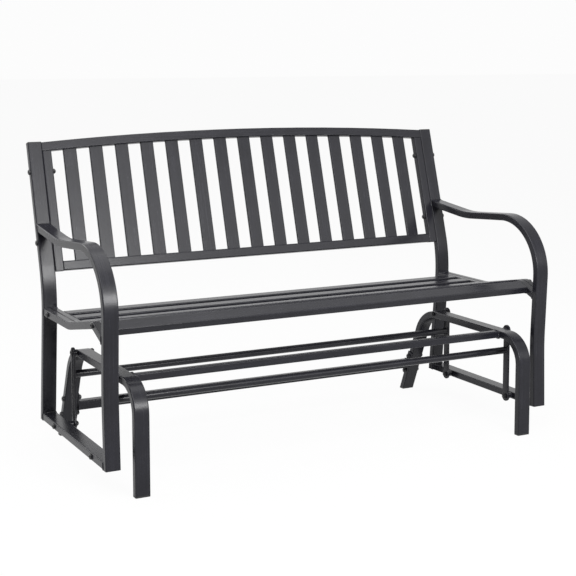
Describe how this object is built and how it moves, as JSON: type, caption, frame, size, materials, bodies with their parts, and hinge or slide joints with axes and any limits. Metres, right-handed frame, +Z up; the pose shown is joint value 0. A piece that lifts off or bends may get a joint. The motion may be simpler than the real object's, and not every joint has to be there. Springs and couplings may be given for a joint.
{
  "type": "glider bench",
  "caption": "Steel glider bench: a slatted seat and arched slatted back with looped arms, hung on links from a low bent-tube stand so that it swings fore and aft.",
  "frame": {"origin": "on the floor under the middle of the bench's bounding box", "axes": "+X along the bench to its right-hand end as seen from the front, -Y towards where the sitters face, +Z up"},
  "size_m": [1.289, 0.609, 0.822],
  "materials": {
    "frame_steel": "satin powder coat, dark charcoal",
    "bolt_steel": "black, slightly glossy",
    "black_plastic": "matte black moulded plastic"
  },
  "bodies": {
    "stand": {"front_foot_cap_left": "black_plastic", "front_foot_cap_right": "black_plastic", "front_stretcher": "frame_steel", "rail_set_screws": "bolt_steel", "rear_foot_cap_left": "black_plastic", "rear_foot_cap_right": "black_plastic", "rear_stretcher": "frame_steel", "stand_side_left": "frame_steel", "stand_side_right": "frame_steel", "stretcher_bolts": "bolt_steel", "stretcher_flanges": "frame_steel", "upper_pivot_bolts": "bolt_steel", "upper_spacers": "frame_steel"},
    "front_swing": {"front_crossbar": "frame_steel", "front_link_left": "frame_steel", "front_link_right": "frame_steel"},
    "rear_swing": {"rear_crossbar": "frame_steel", "rear_link_left": "frame_steel", "rear_link_right": "frame_steel"},
    "seat_frame": {"arm_left": "frame_steel", "arm_right": "frame_steel", "back_bolts": "bolt_steel", "back_lower_rail": "frame_steel", "back_slat_01": "frame_steel", "back_slat_02": "frame_steel", "back_slat_03": "frame_steel", "back_slat_04": "frame_steel", "back_slat_05": "frame_steel", "back_slat_06": "frame_steel", "back_slat_07": "frame_steel", "back_slat_08": "frame_steel", "back_slat_09": "frame_steel", "back_slat_10": "frame_steel", "back_slat_11": "frame_steel", "back_slat_12": "frame_steel", "back_slat_13": "frame_steel", "back_slat_14": "frame_steel", "back_slat_15": "frame_steel", "back_top_rail": "frame_steel", "back_upright_left": "frame_steel", "back_upright_right": "frame_steel", "bottom_rail_left": "frame_steel", "bottom_rail_right": "frame_steel", "frame_end_plugs": "black_plastic", "lower_pivot_bolts": "bolt_steel", "lower_spacers": "frame_steel", "post_caps": "black_plastic", "post_left": "frame_steel", "post_right": "frame_steel", "seat_bolts": "bolt_steel", "seat_rail_left": "frame_steel", "seat_rail_right": "frame_steel", "seat_side_bar_left": "frame_steel", "seat_side_bar_right": "frame_steel", "seat_slat_1": "frame_steel", "seat_slat_2": "frame_steel", "seat_slat_3": "frame_steel", "seat_slat_4": "frame_steel", "seat_slat_5": "frame_steel", "seat_slat_6": "frame_steel"}
  },
  "joints": [
    {"name": "front_link_pivot", "type": "hinge", "parent": "stand", "child": "front_swing", "pos_m": [0, -0.1847, 0.2655], "axis": [1, 0, 0], "range_deg": [-15, 15]},
    {"name": "rear_link_pivot", "type": "hinge", "parent": "stand", "child": "rear_swing", "pos_m": [0, 0.1008, 0.2655], "axis": [1, 0, 0], "range_deg": [-15, 15]},
    {"name": "seat_pivot", "type": "hinge", "parent": "front_swing", "child": "seat_frame", "pos_m": [0, -0.1847, 0.0775], "axis": [1, 0, 0], "range_deg": [-15, 15]}
  ],
  "couplings": [
    {"joint": "rear_link_pivot", "follows": "front_link_pivot", "ratio": 1},
    {"joint": "seat_pivot", "follows": "front_link_pivot", "ratio": -1}
  ]
}
